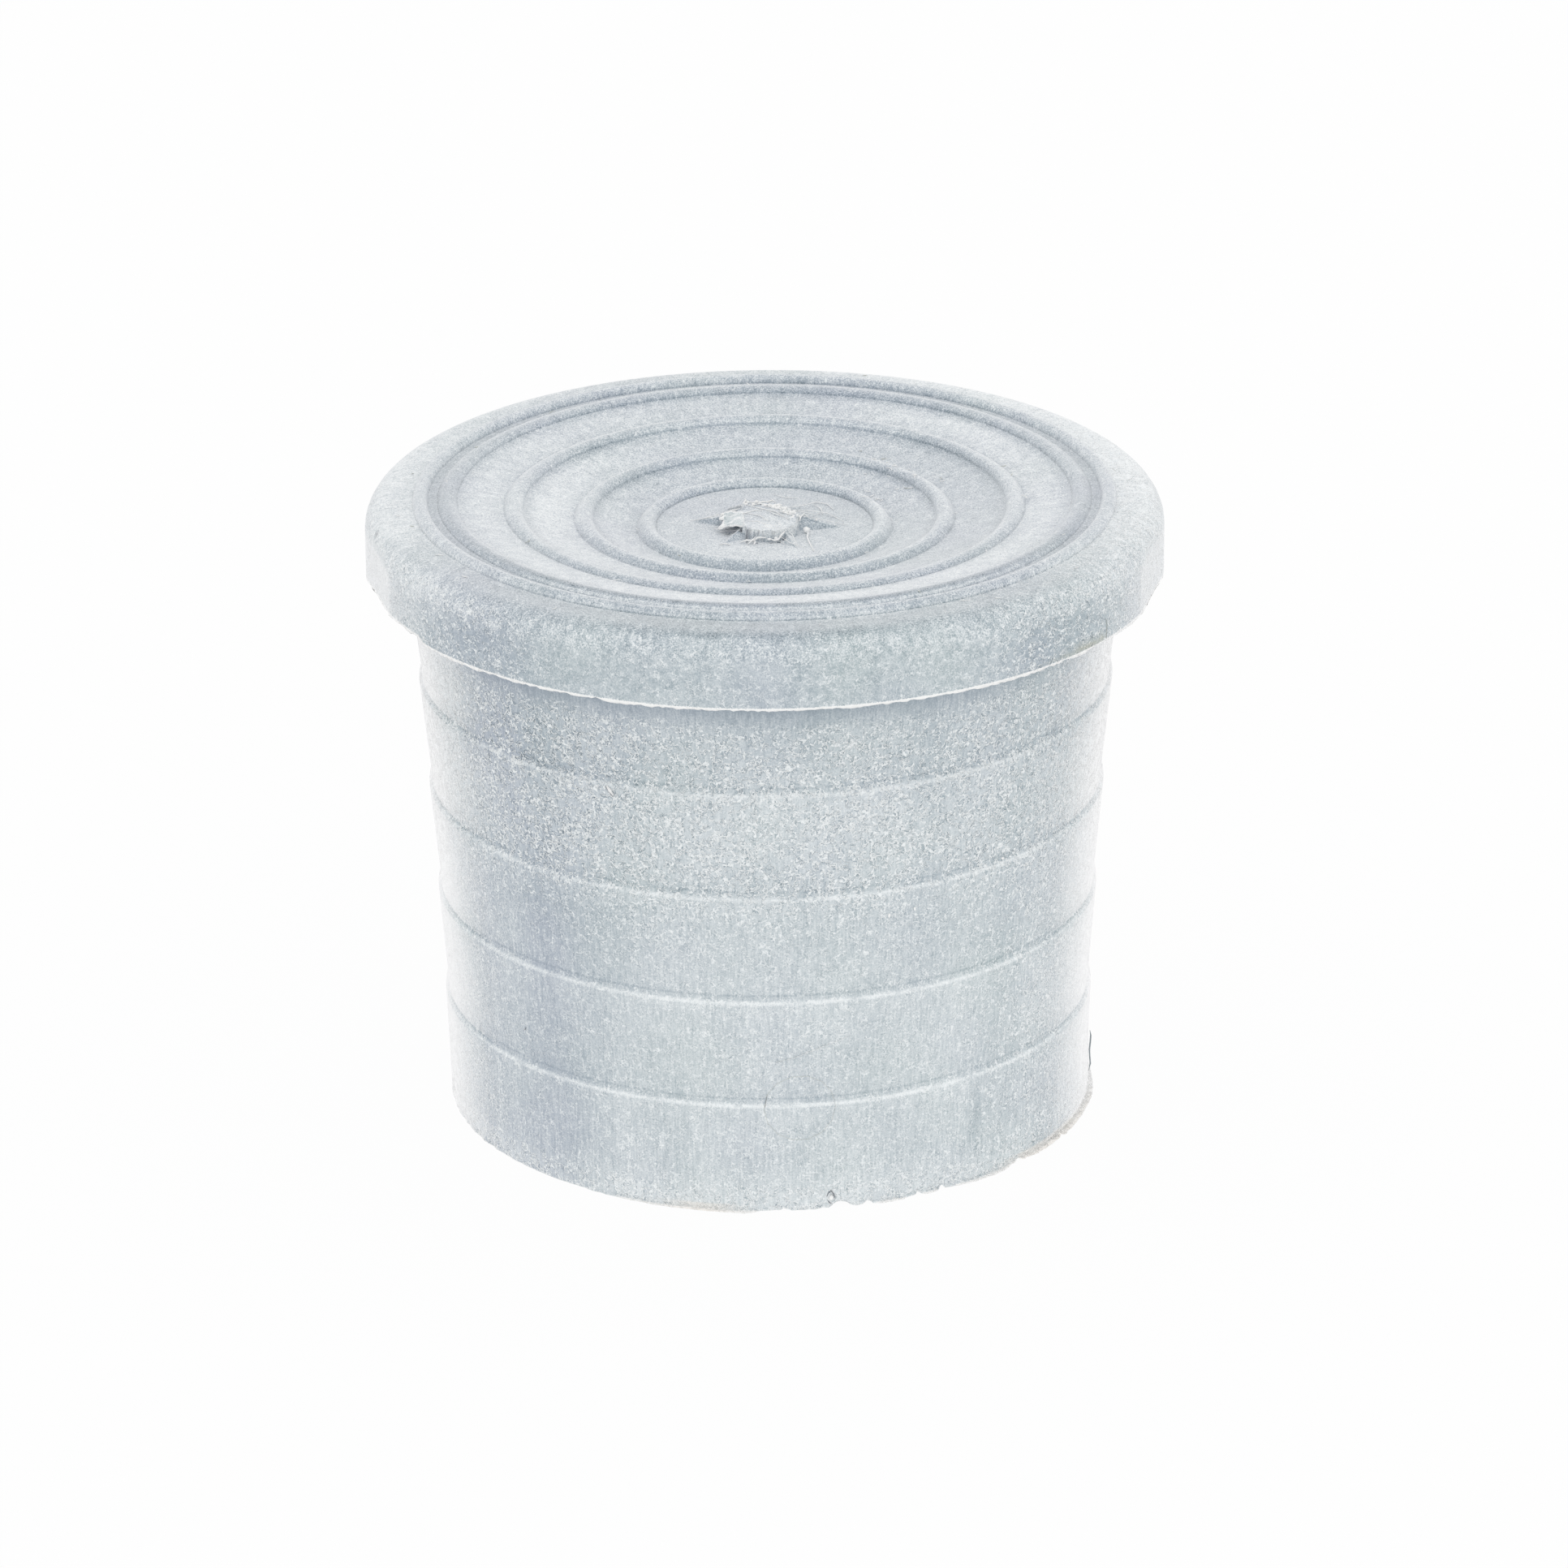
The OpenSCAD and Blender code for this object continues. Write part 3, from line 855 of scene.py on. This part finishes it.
def add_gate_shreds(bm, layers):
    # a dark thread painted as the shadow under the torn sheet
    add_thread(bm, layers, floor_path(*GATE_GAP_SHADOW), 0.09, 0.07, torn=0.0, hollow=0.85)
    for places, width, thickness in GATE_SHREDS:
        add_thread(bm, layers, floor_path(*places), width, thickness)
    for seed, (x, y, z, *size) in enumerate(GATE_CRUMBS):
        add_crumb(bm, layers, (x, y, FLOOR_Z + z), size, seed=seed)
    pick = random.Random(5)
    back = [Vector(c) for c in STUB_BACK]
    for seed in range(BACK_CRUMBS):
        along_back = (len(back) - 1.001) * pick.random() ** 0.7
        at = back[int(along_back)].lerp(back[int(along_back) + 1], along_back % 1)
        spot = (at.x + pick.gauss(-0.05, 0.09), at.y + pick.gauss(-0.08, 0.13),
                FLOOR_Z + pick.uniform(0.52, 0.62))
        size = [pick.uniform(0.12, 0.36), pick.uniform(0.1, 0.28), pick.uniform(0.1, 0.22)]
        add_crumb(bm, layers, spot, size, seed=60 + seed, torn=pick.uniform(0.55, 1.0))


def add_side_marks(bm, layers):
    """Nicks, flecks and scratches on the plug and on the wall of the head."""
    for lift, places, width, thickness, paint in SIDE_MARKS:
        add_thread(bm, layers, side_path(lift, *places), width, thickness, **paint)
    bearing, half_w, height, half_h, count = OVAL
    ring = [(bearing + half_w * math.cos(i * 0.45), height + half_h * math.sin(i * 0.45))
            for i in range(count)]
    add_thread(bm, layers, side_path(0.0, *ring), 0.05, 0.03, torn=0.0, soil=0.25)
    sliver = [on_side(SLIVER_BEARING, z, side_r(z) + out) for z, out in SLIVER]
    add_thread(bm, layers, sliver, 0.08, 0.08, torn=0.0, hollow=0.5)
    for seed, (bearing, z, *size) in enumerate(FLECKS):
        place = on_side(bearing, z, side_r(z) + 0.04)
        add_crumb(bm, layers, place, size, seed=40 + seed)


def add_lint(bm, layers):
    """Small curled fibres of rubber dust on the head, thickest right of the gate."""
    pick = random.Random(11)
    for number in range(LINT):
        if number < LINT_RIGHT:
            bearing, r = pick.uniform(25, 62), pick.uniform(5.2, 9.2)
        else:
            bearing, r = pick.uniform(-180, 180), pick.choice(LINT_CIRCLES)
        centre = on_side(bearing, top_at(r) + 0.03, r + pick.uniform(-0.2, 0.2))
        for radius, width, height in BEADS:
            centre.z += height * max(0, 1 - (abs(r - radius) / (width / 2)) ** 2)
        centre.z -= dip(polar(centre)[0])
        turn, bend, length = pick.uniform(0, 6.3), pick.uniform(-1.4, 1.4), pick.uniform(0.12, 0.32)
        points = []
        for step in range(4):
            a = turn + bend * step / 3
            points.append(centre + Vector((math.cos(a), math.sin(a), 0.1)) * length * (step - 1.5) / 2)
        add_thread(bm, layers, points, pick.uniform(0.03, 0.06), 0.04,
                   torn=0.9 if pick.random() > 0.25 else 0.0, soil=0.5)


# ---------------------------------------------------------------- the stopper
def turned(bm, points, steps):
    """Spins a half section round the axis."""
    verts = [bm.verts.new((r, 0, z)) for r, z in points]
    edges = [bm.edges.new(pair) for pair in zip(verts, verts[1:])]
    bmesh.ops.spin(bm, geom=verts + edges, cent=(0, 0, 0), axis=(0, 0, 1),
                   angle=2 * math.pi, steps=steps, use_merge=True)


def crowd_front(bm):
    """Moves the steps of the turn closer together at the front."""
    for v in bm.verts:
        r, bearing = polar(v.co)
        if r > 1e-3:
            shift = math.degrees(FRONT_SHARE * math.sin(math.radians(bearing - FRONT)))
            v.co = on_side(bearing - shift, v.co.z, r)


def new_part():
    bm = bmesh.new()
    return bm, {name: bm.verts.layers.float.new(name) for name in LAYERS}


def join_part(bm, part):
    """Adds a finished part to the mesh, with what is painted on it."""
    mesh = bpy.data.meshes.new("part")
    part.to_mesh(mesh)
    part.free()
    bm.from_mesh(mesh)
    bpy.data.meshes.remove(mesh)


def loose_bits():
    bits, layers = new_part()
    add_flap(bits, layers)
    add_gate_shreds(bits, layers)
    add_side_marks(bits, layers)
    add_lint(bits, layers)
    return bits


def build_stopper():
    bm, layers = new_part()
    turned(bm, head_points() + wall_points() + plug_points() + end_points(), TURN_STEPS)
    gate = new_part()[0]
    turned(gate, gate_points(), TURN_STEPS // 2)
    join_part(bm, gate)
    bmesh.ops.remove_doubles(bm, verts=bm.verts[:], dist=1e-4)
    bmesh.ops.bridge_loops(bm, edges=[e for e in bm.edges if len(e.link_faces) == 1])
    crowd_front(bm)
    for v in bm.verts:
        r, bearing = polar(v.co)
        for mark in MARKS:
            mark(r, bearing, v.co)
    paint_finish(bm, layers)
    bmesh.ops.recalc_face_normals(bm, faces=bm.faces[:])
    paint_edge_wear_and_crease_shade(bm, layers)
    join_part(bm, loose_bits())
    bmesh.ops.recalc_face_normals(bm, faces=bm.faces[:])
    bmesh.ops.scale(bm, vec=(MM, MM, MM), verts=bm.verts[:])
    mesh = bpy.data.meshes.new("moulded_stopper")
    bm.to_mesh(mesh)
    bm.free()
    mesh.polygons.foreach_set("use_smooth", [True] * len(mesh.polygons))
    piece = bpy.data.objects.new("moulded_stopper", mesh)
    bpy.context.collection.objects.link(piece)
    return piece


# ---------------------------------------------------------------- shared material groups
def new_group(name, output, **values):
    """A new shader group that turns a place and some values into one value."""
    tree = bpy.data.node_groups.new(name, "ShaderNodeTree")
    tree.interface.new_socket("Vector", in_out="INPUT", socket_type="NodeSocketVector")
    for label, value in values.items():
        socket = tree.interface.new_socket(label.replace("_", " "), in_out="INPUT",
                                           socket_type="NodeSocketFloat")
        socket.default_value = value
    tree.interface.new_socket(output, in_out="OUTPUT", socket_type="NodeSocketFloat")
    start, end = tree.nodes.new("NodeGroupInput"), tree.nodes.new("NodeGroupOutput")
    return tree, start.outputs, end.inputs[output]


def fill_sockets(tree, pairs):
    """Links or sets each socket to the value beside it."""
    for socket, value in pairs:
        if isinstance(value, bpy.types.NodeSocket):
            tree.links.new(value, socket)
        elif value is not None:
            socket.default_value = value


def math_node(tree, operation, first, second=None, clamp=False):
    node = tree.nodes.new("ShaderNodeMath")
    node.operation = operation
    node.use_clamp = clamp
    fill_sockets(tree, zip(node.inputs, (first, second)))
    return node.outputs[0]


def sum_of(tree, *values):
    total = values[0]
    for value in values[1:]:
        total = math_node(tree, "ADD", total, value)
    return total


def product(tree, first, second):
    return math_node(tree, "MULTIPLY", first, second)


def weighted(tree, start, *pairs):
    """A start value plus a share of each further value."""
    return sum_of(tree, start, *(product(tree, value, share) for value, share in pairs))


def minus(tree, first, second, clamp=False):
    return math_node(tree, "SUBTRACT", first, second, clamp)


def fading(tree, distance, reach):
    """1 at no distance, falling to 0 at the reach."""
    return minus(tree, 1.0, math_node(tree, "DIVIDE", distance, reach), clamp=True)


def remap(tree, value, low, high, to_low=0.0, to_high=1.0):
    node = tree.nodes.new("ShaderNodeMapRange")
    node.interpolation_type = "SMOOTHSTEP"
    labels = ("Value", "From Min", "From Max", "To Min", "To Max")
    fill_sockets(tree, zip((node.inputs[label] for label in labels),
                           (value, low, high, to_low, to_high)))
    return node.outputs["Result"]


def noise_node(tree, vector, scale, detail=0.0, distortion=0.0, roughness=0.5):
    node = tree.nodes.new("ShaderNodeTexNoise")
    labels = ("Vector", "Scale", "Detail", "Distortion", "Roughness")
    fill_sockets(tree, zip((node.inputs[label] for label in labels),
                           (vector, scale, detail, distortion, roughness)))
    return node.outputs["Fac"]


def shifted(tree, vector, offset, stretch=(1, 1, 1)):
    node = tree.nodes.new("ShaderNodeMapping")
    labels = ("Vector", "Location", "Scale")
    fill_sockets(tree, zip((node.inputs[label] for label in labels), (vector, offset, stretch)))
    return node.outputs["Vector"]


def axes_of(tree, vector):
    parts = tree.nodes.new("ShaderNodeSeparateXYZ")
    tree.links.new(vector, parts.inputs["Vector"])
    return [parts.outputs[axis] for axis in "XYZ"]


def contour(tree, value, level, half_width):
    """1 where a value meets a level, falling to 0 at half a width to either side."""
    return fading(tree, math_node(tree, "ABSOLUTE", minus(tree, value, level)), half_width)


def talc_curls_group():
    """Short pale curls with a dark side: contour lines of a noise, broken up by a second."""
    tree, given, result = new_group("talc_curls", "Curls", Scale=5000.0, Thinness=0.1)
    place, scale, thinness = given["Vector"], given["Scale"], given["Thinness"]
    curls = []
    for offset, gap_offset in (((0, 0, 0), (3, 1, 2)), ((0.41, 0.17, 0.29), (5, 7, 4)),
                               ((0.83, 0.57, 0.61), (9, 2, 8))):
        lines = noise_node(tree, shifted(tree, place, offset), scale, 0.6, 0.6)
        shade = contour(tree, lines, 0.59, thinness)
        thin = minus(tree, contour(tree, lines, 0.5, thinness), product(tree, shade, 0.4))
        gaps = noise_node(tree, shifted(tree, place, gap_offset), product(tree, scale, 0.6))
        curls.append(product(tree, thin, remap(tree, gaps, 0.48, 0.56)))
    tree.links.new(sum_of(tree, *curls), result)
    return tree


def specks_group():
    """Scattered small round specks; Share is the part of the cells that carries one."""
    tree, given, result = new_group("specks", "Specks", Scale=900.0, Size=0.1, Share=0.3)
    cells = tree.nodes.new("ShaderNodeTexVoronoi")
    tree.links.new(given["Vector"], cells.inputs["Vector"])
    tree.links.new(given["Scale"], cells.inputs["Scale"])
    chance = tree.nodes.new("ShaderNodeSeparateColor")
    tree.links.new(cells.outputs["Color"], chance.inputs["Color"])
    kept = math_node(tree, "LESS_THAN", chance.outputs["Red"], given["Share"])
    size = product(tree, given["Size"], sum_of(tree, chance.outputs["Green"], 0.5))
    dot = product(tree, fading(tree, cells.outputs["Distance"], size), 2.5)
    tree.links.new(product(tree, math_node(tree, "MINIMUM", dot, 1.0), kept), result)
    return tree


def drawn_lines_group():
    """Fine upright lines that the mould and the draw leave on a side wall, about zero."""
    tree, given, result = new_group("drawn_lines", "Lines", Scale=8000.0)
    place, scale = given["Vector"], given["Scale"]
    fine = noise_node(tree, shifted(tree, place, (0, 0, 0), (1, 1, 0.09)), scale, 1.0)
    broad = noise_node(tree, shifted(tree, place, (2, 5, 1), (1, 1, 0.06)),
                       product(tree, scale, 0.25), 1.0)
    tree.links.new(minus(tree, weighted(tree, fine, (broad, 0.2)), 0.6), result)
    return tree


def radial_lines_group():
    """Fine streaks that run out from the axis over the head, about zero."""
    tree, given, result = new_group("radial_lines", "Lines", Scale=7000.0)
    x, y, z = axes_of(tree, given["Vector"])
    reach = math_node(tree, "SQRT", sum_of(tree, product(tree, x, x), product(tree, y, y)))
    around = product(tree, math_node(tree, "ARCTAN2", x, y), 13 * MM)
    unrolled = tree.nodes.new("ShaderNodeCombineXYZ")
    fill_sockets(tree, zip(unrolled.inputs, (around, product(tree, reach, 0.16),
                                             product(tree, z, 0.16))))
    streaks = noise_node(tree, unrolled.outputs["Vector"], given["Scale"], 1.0)
    tree.links.new(minus(tree, streaks, 0.5), result)
    return tree


def mottle_group():
    """Blotches of several sizes, about zero; Harshness gives the small ones more weight."""
    tree, given, result = new_group("mottle", "Blotches", Scale=1200.0, Harshness=0.8)
    blotches = noise_node(tree, given["Vector"], given["Scale"], 4.0, roughness=given["Harshness"])
    tree.links.new(minus(tree, blotches, 0.5), result)
    return tree


def step_line_group():
    """A soft line at the same height over every step of a side, from 0 to 1."""
    tree, given, result = new_group("step_line", "Line", Spacing=0.005, Height=0.0,
                                    Half_Width=0.0001, Top=0.022)
    z = axes_of(tree, given["Vector"])[2]
    half = product(tree, given["Spacing"], 0.5)
    raised = sum_of(tree, minus(tree, z, given["Height"]), half)
    phase = math_node(tree, "MODULO", raised, given["Spacing"])
    away = math_node(tree, "ABSOLUTE", minus(tree, phase, half))
    uneven = noise_node(tree, given["Vector"], 1100.0, 2.0, roughness=0.7)
    line = product(tree, fading(tree, away, given["Half Width"]),
                   remap(tree, uneven, 0.25, 0.6, 0.35, 1.0))
    line = product(tree, line, math_node(tree, "LESS_THAN", z, given["Top"]))
    line = product(tree, line, math_node(tree, "GREATER_THAN", z, half))
    tree.links.new(line, result)
    return tree


# ---------------------------------------------------------------- the rubber
GREEN_RUBBER = (0.372, 0.445, 0.468, 1)
VIOLET_RUBBER = (0.365, 0.415, 0.482, 1)
TALC = (0.847, 0.881, 0.892, 1)
TORN_RUBBER = (0.93, 0.93, 0.92, 1)
SOIL = (0.4, 0.39, 0.27, 1)
DARK_MARK_AND_SHADE = (0.08, 0.09, 0.12, 1)
WARM_FLASH = (0.97, 0.89, 0.8, 1)
DARK_RUBBER_AND_SHADE = (0.118, 0.162, 0.198, 1)
PAINTED_SHEEN = (0.97, 0.97, 0.975, 1)


def use_group(tree, group, vector, **values):
    node = tree.nodes.new("ShaderNodeGroup")
    node.node_tree = group
    tree.links.new(vector, node.inputs["Vector"])
    for name, value in values.items():
        node.inputs[name.replace("_", " ")].default_value = value
    return node.outputs[0]


def blend(tree, factor, first, second):
    node = tree.nodes.new("ShaderNodeMix")
    node.data_type = "RGBA"
    fill_sockets(tree, ((node.inputs["Factor"], factor), (node.inputs[6], first),
                        (node.inputs[7], second)))
    return node.outputs[2]


def read_layers(tree):
    """What is painted on the mesh, by the names of its layers."""
    painted = {}
    for name in LAYERS:
        node = tree.nodes.new("ShaderNodeAttribute")
        node.attribute_name = name
        painted[name] = node.outputs["Fac"]
    return painted


def rubber_material():
    mat = bpy.data.materials.new("grey_rubber")
    mat.use_nodes = True
    tree = mat.node_tree
    bsdf = tree.nodes["Principled BSDF"]
    place = tree.nodes.new("ShaderNodeTexCoord").outputs["Object"]
    mottle, step_line, spots = mottle_group(), step_line_group(), specks_group()
    painted = read_layers(tree)
    powder, felt, head = painted["powder"], painted["felt"], painted["head"]

    curls = use_group(tree, talc_curls_group(), place, Scale=5000.0, Thinness=0.06)
    specks = use_group(tree, spots, place, Scale=1300.0, Size=0.09, Share=0.2)
    dust = use_group(tree, spots, place, Scale=3200.0, Size=0.15, Share=0.16)
    lines = use_group(tree, drawn_lines_group(), place, Scale=11000.0)
    streaks = use_group(tree, radial_lines_group(), place, Scale=7000.0)
    blotches = use_group(tree, mottle, place, Scale=2000.0, Harshness=0.85)
    grain = use_group(tree, mottle, place, Scale=15000.0, Harshness=0.6)
    # a painted highlight, partly wear, along each step's ledge, and painted shade in the crease above
    # it
    ledge_wear_and_highlight = use_group(tree, step_line, place, Height=0.00008, Half_Width=0.00012)
    crease_shade = use_group(tree, step_line, place, Height=0.0004, Half_Width=0.0001)

    talc = sum_of(tree, product(tree, powder, weighted(tree, 0.11, (curls, 1.25))),
                  product(tree, specks, weighted(tree, 0.25, (powder, 0.4))),
                  product(tree, dust, weighted(tree, 0.25, (powder, 0.15))))
    drawn = minus(tree, 0.72, product(tree, felt, 0.6), clamp=True)
    # grain, streaks and blotches, plus the painted light and shade of the tone layer, the step lines,
    # and the edges and creases
    haze_light_and_shade = weighted(tree, 0.4, (blotches, weighted(tree, 0.2, (felt, 1.1))),
                    (grain, weighted(tree, 1.2, (head, 1.4))), (lines, drawn),
                    (streaks, product(tree, head, 0.55)), (ledge_wear_and_highlight, 0.5), (crease_shade, -0.28),
                    (painted["tone_and_shade"], 1.0), (painted["edge_wear_and_crease_shade"], 0.6))
    # above zero the rubber turns toward talc white, also for painted light; below zero it turns toward
    # the dark colour that carries most of the painted shade
    whole = sum_of(tree, haze_light_and_shade, talc)
    talc_and_light = math_node(tree, "ADD", whole, 0.0, clamp=True)
    depth = minus(tree, 0.0, whole, clamp=True)

    ragged = weighted(tree, painted["torn"], (grain, 1.2))
    # painted sheen: the base colour turns toward white where the surface turns away from the view; on
    # the walls it reaches nearly white at the outline, and less on the head
    facing = tree.nodes.new("ShaderNodeLayerWeight")
    facing.inputs["Blend"].default_value = 0.5
    fuzzy = weighted(tree, facing.outputs["Facing"], (grain, 0.5))
    wall_sheen = remap(tree, fuzzy, 0.44, 0.88, 0.0, 0.98)
    head_sheen = product(tree, minus(tree, sum_of(tree, fuzzy, grain), 0.12, clamp=True), 0.6)
    sheen = weighted(tree, product(tree, head_sheen, head), (wall_sheen, minus(tree, 1.0, head)))
    colour = blend(tree, painted["tint"], GREEN_RUBBER, VIOLET_RUBBER)
    for share, coat in ((talc_and_light, TALC), (depth, DARK_RUBBER_AND_SHADE), (painted["soil"], SOIL),
                        (remap(tree, ragged, 0.35, 0.8, 0.0, 0.95), TORN_RUBBER),
                        (painted["warm"], WARM_FLASH), (painted["hollow"], DARK_MARK_AND_SHADE),
                        (sheen, PAINTED_SHEEN)):
        colour = blend(tree, share, colour, coat)
    tree.links.new(colour, bsdf.inputs["Base Color"])

    bump = tree.nodes.new("ShaderNodeBump")
    height = weighted(tree, talc, (blotches, 0.8), (lines, 0.4))
    fill_sockets(tree, ((bump.inputs["Strength"], 0.6), (bump.inputs["Distance"], 0.00003),
                        (bump.inputs["Height"], height)))
    tree.links.new(bump.outputs["Normal"], bsdf.inputs["Normal"])
    tree.links.new(weighted(tree, 0.5, (talc_and_light, 0.25)), bsdf.inputs["Roughness"])
    return mat


stopper = build_stopper()
stopper.data.materials.append(rubber_material())
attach(stopper, "root")
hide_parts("stopper")


# ---------------------------------------------------------------- stage, camera and lights
def build_world():
    world = bpy.data.worlds.new("studio")
    world.use_nodes = True
    background = world.node_tree.nodes["Background"]
    background.inputs["Color"].default_value = (1, 1, 1, 1)
    background.inputs["Strength"].default_value = 1.0
    bpy.context.scene.world = world


def build_floor():
    """A lit white table that still takes a faint shadow."""
    bm = bmesh.new()
    bmesh.ops.create_grid(bm, x_segments=1, y_segments=1, size=3.0)
    mesh = bpy.data.meshes.new("floor")
    bm.to_mesh(mesh)
    bm.free()
    floor = bpy.data.objects.new("floor", mesh)
    bpy.context.collection.objects.link(floor)
    mat = bpy.data.materials.new("white_floor")
    mat.use_nodes = True
    tree = mat.node_tree
    bsdf = tree.nodes["Principled BSDF"]
    bsdf.inputs["Base Color"].default_value = (0.85, 0.85, 0.85, 1)
    bsdf.inputs["Roughness"].default_value = 0.9
    glow = tree.nodes.new("ShaderNodeEmission")
    path = tree.nodes.new("ShaderNodeLightPath")
    share = weighted(tree, 0.75, (path.outputs["Is Camera Ray"], 0.19))
    mix = tree.nodes.new("ShaderNodeMixShader")
    tree.links.new(share, mix.inputs["Fac"])
    tree.links.new(bsdf.outputs["BSDF"], mix.inputs[1])
    tree.links.new(glow.outputs["Emission"], mix.inputs[2])
    tree.links.new(mix.outputs["Shader"], tree.nodes["Material Output"].inputs["Surface"])
    mesh.materials.append(mat)


def area_light(name, place, target, size, power):
    data = bpy.data.lights.new(name, "AREA")
    data.shape = "SQUARE"
    data.size = size
    data.energy = power
    lamp = bpy.data.objects.new(name, data)
    lamp.location = place
    lamp.rotation_euler = (Vector(target) - Vector(place)).to_track_quat("-Z", "Y").to_euler()
    bpy.context.collection.objects.link(lamp)


CAMERA_PITCH = math.radians(22.08)
CAMERA_ROLL = math.radians(0.414)
CAMERA_AWAY = 0.3796
AIM_RIGHT = 0.00087
AIM_DOWN = 0.01311
LENS = 196.4


def build_camera():
    """A long lens that looks down on the head; the aim is given from the head's middle."""
    data = bpy.data.cameras.new("camera")
    data.lens = LENS
    data.sensor_width = 36
    data.clip_start = 0.01
    turn = Euler((math.pi / 2 - CAMERA_PITCH, 0, 0)).to_matrix()
    turn = turn @ Matrix.Rotation(-CAMERA_ROLL, 3, "Z")
    right, up, back = (turn.col[i] for i in range(3))
    aim = Vector((0, 0, HEIGHT * MM)) + right * AIM_RIGHT - up * AIM_DOWN
    camera = bpy.data.objects.new("camera", data)
    camera.matrix_world = Matrix.Translation(aim + back * CAMERA_AWAY) @ turn.to_4x4()
    bpy.context.collection.objects.link(camera)
    bpy.context.scene.camera = camera


build_world()
build_floor()
build_camera()
area_light("front_softbox", (0.15, -0.6, 0.35), (0, 0, 0.015), 0.3, 0.25)
bpy.context.scene.view_settings.view_transform = "Standard"
